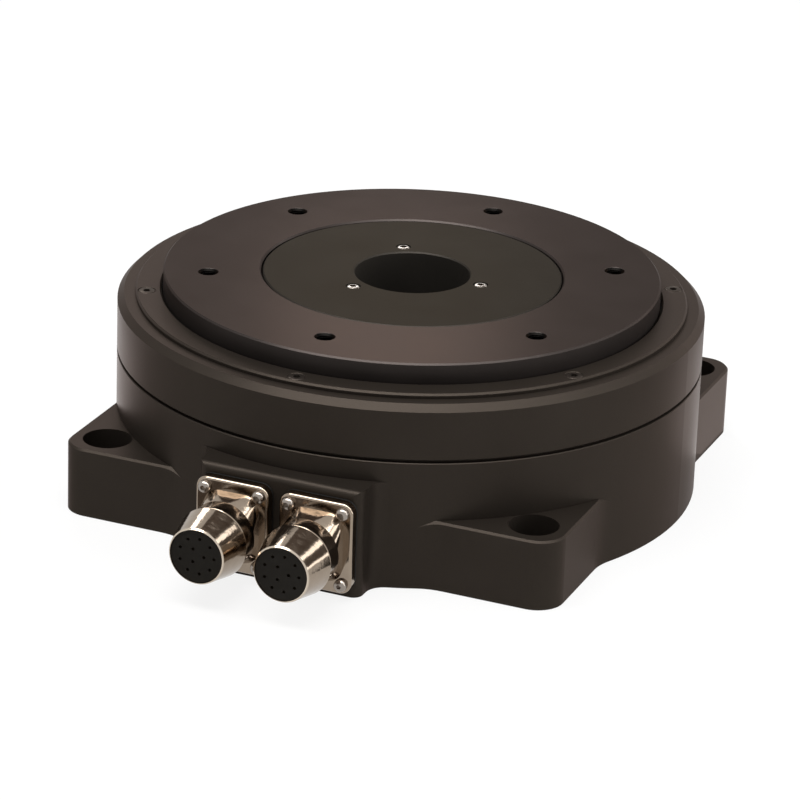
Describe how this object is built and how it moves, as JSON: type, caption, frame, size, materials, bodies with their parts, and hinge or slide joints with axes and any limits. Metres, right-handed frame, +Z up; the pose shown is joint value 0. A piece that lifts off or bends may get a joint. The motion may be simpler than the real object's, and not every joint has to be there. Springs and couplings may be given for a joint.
{
  "type": "direct drive rotary table",
  "caption": "Low round direct drive rotary table with a square-eared base, a turning top with tapped holes, a hollow centre and round connectors on a front pad.",
  "frame": {"origin": "where the axis of rotation meets the plane that the base stands on", "axes": "+Z up along the axis of rotation, -Y towards the connectors"},
  "size_m": [0.18, 0.2133, 0.065],
  "materials": {
    "black_anodised_housing": "black anodised over bead blasting, satin",
    "black_anodised_table": "black anodised over fine turning, satin",
    "black_anodised_cover": "black anodised, matt",
    "bare_aluminium": "turned",
    "black_steel": "black oxide",
    "bright_steel": "zinc plated",
    "bearing_steel": "ground",
    "core_steel": "stacked electrical sheet",
    "copper": "enamelled copper wire",
    "nickel": "nickel plated",
    "gold": "gold plated",
    "black_rubber": "moulded",
    "felt": "pressed felt",
    "black_plastic": "moulded",
    "white_plastic": "moulded"
  },
  "bodies": {
    "base": {"base_housing": "black_anodised_housing", "bearing_outer_ring_lower": "bearing_steel", "bearing_outer_ring_upper": "bearing_steel", "centre_cover": "black_anodised_cover", "centre_cover_screws": "bright_steel", "centre_dust_seal": "felt", "centre_tube": "black_anodised_cover", "centre_tube_screws": "black_steel", "connector_gaskets": "black_rubber", "connector_screws": "bright_steel", "encoder_bracket": "bare_aluminium", "encoder_connector_contacts": "gold", "encoder_connector_insert": "black_plastic", "encoder_connector_shell": "nickel", "encoder_lead": "black_rubber", "encoder_read_head": "black_plastic", "encoder_screws": "black_steel", "housing_o_ring": "black_rubber", "housing_screws": "black_steel", "motor_connector_contacts": "gold", "motor_connector_insert": "black_plastic", "motor_connector_shell": "nickel", "motor_leads": "black_rubber", "outer_clamp_screws": "black_steel", "outer_ring_clamp": "bright_steel", "seal_retainer_ring": "black_anodised_housing", "seal_retainer_screws": "black_steel", "stator_coils": "copper", "stator_core": "core_steel", "table_lip_seal": "black_rubber", "upper_housing": "black_anodised_housing"},
    "rotor": {"rotary_table": "black_anodised_table", "bearing_inner_ring": "bearing_steel", "rotor_carrier": "bare_aluminium", "rotor_carrier_screws": "black_steel", "rotor_yoke": "core_steel", "rotor_magnets": "nickel", "encoder_scale_ring": "core_steel"},
    "roller_set": {"rollers_leaning_out": "bearing_steel", "rollers_leaning_in": "bearing_steel", "roller_spacers": "white_plastic"}
  },
  "joints": [
    {"name": "table_rotation", "type": "hinge", "parent": "base", "child": "rotor", "pos_m": [0, 0, 0.0475], "axis": [0, 0, 1], "continuous": true},
    {"name": "roller_orbit", "type": "hinge", "parent": "base", "child": "roller_set", "pos_m": [0, 0, 0.0475], "axis": [0, 0, 1], "continuous": true}
  ],
  "couplings": [
    {"joint": "roller_orbit", "follows": "table_rotation", "ratio": 0.4841}
  ]
}
